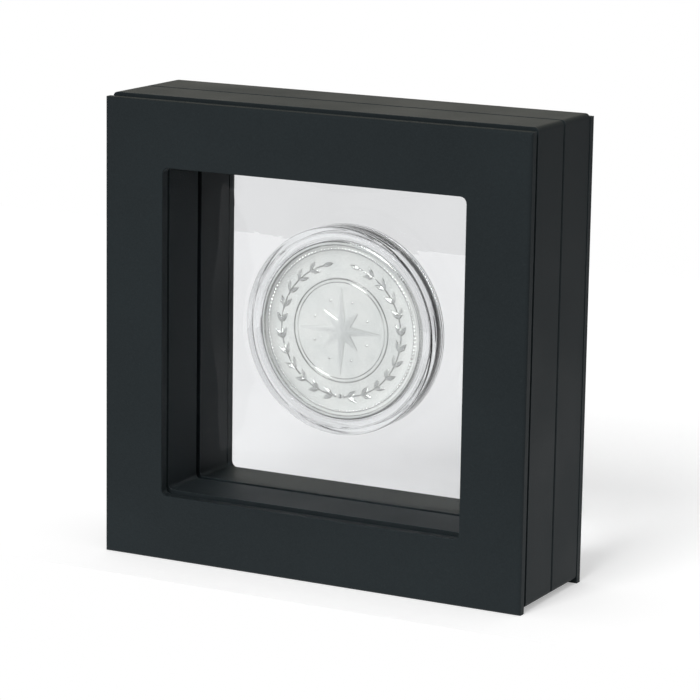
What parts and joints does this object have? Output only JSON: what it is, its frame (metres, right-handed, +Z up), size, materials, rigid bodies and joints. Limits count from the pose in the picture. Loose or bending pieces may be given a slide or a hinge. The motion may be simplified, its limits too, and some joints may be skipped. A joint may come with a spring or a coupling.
{
  "type": "floating display frame",
  "caption": "Square black frame whose hinged halves hold a round encapsulated coin between clear elastic membranes, so that it seems to float in an open window.",
  "frame": {"origin": "on the table, under the middle of the frame's width and of its depth, 0.4 mm in front of the seam where the two halves meet", "axes": "+X to the right seen from the front, +Y towards the rear of the frame, +Z up; the front half's face points along -Y"},
  "size_m": [0.1, 0.031, 0.1007],
  "materials": {
    "black_plastic": "matte soft-touch",
    "clear_film": "clear glossy elastic film",
    "clear_acrylic": "clear polished",
    "silver": "satin struck silver",
    "steel_pin": "drawn wire"
  },
  "bodies": {
    "rear_half": {"rear_face_plate": "black_plastic", "rear_shell": "black_plastic", "rear_membrane": "clear_film", "rear_clamp_ring": "black_plastic", "hinge_pin_left": "steel_pin", "hinge_pin_right": "steel_pin", "capsule_base": "clear_acrylic", "capsule_lid": "clear_acrylic", "coin": "silver"},
    "front_half": {"front_face_plate": "black_plastic", "front_shell": "black_plastic", "front_membrane": "clear_film", "front_clamp_ring": "black_plastic"}
  },
  "joints": [
    {"name": "front_half_hinge", "type": "hinge", "parent": "rear_half", "child": "front_half", "pos_m": [0, 0.0004, 0.0012], "axis": [1, 0, 0], "range_deg": [0, 110]}
  ]
}
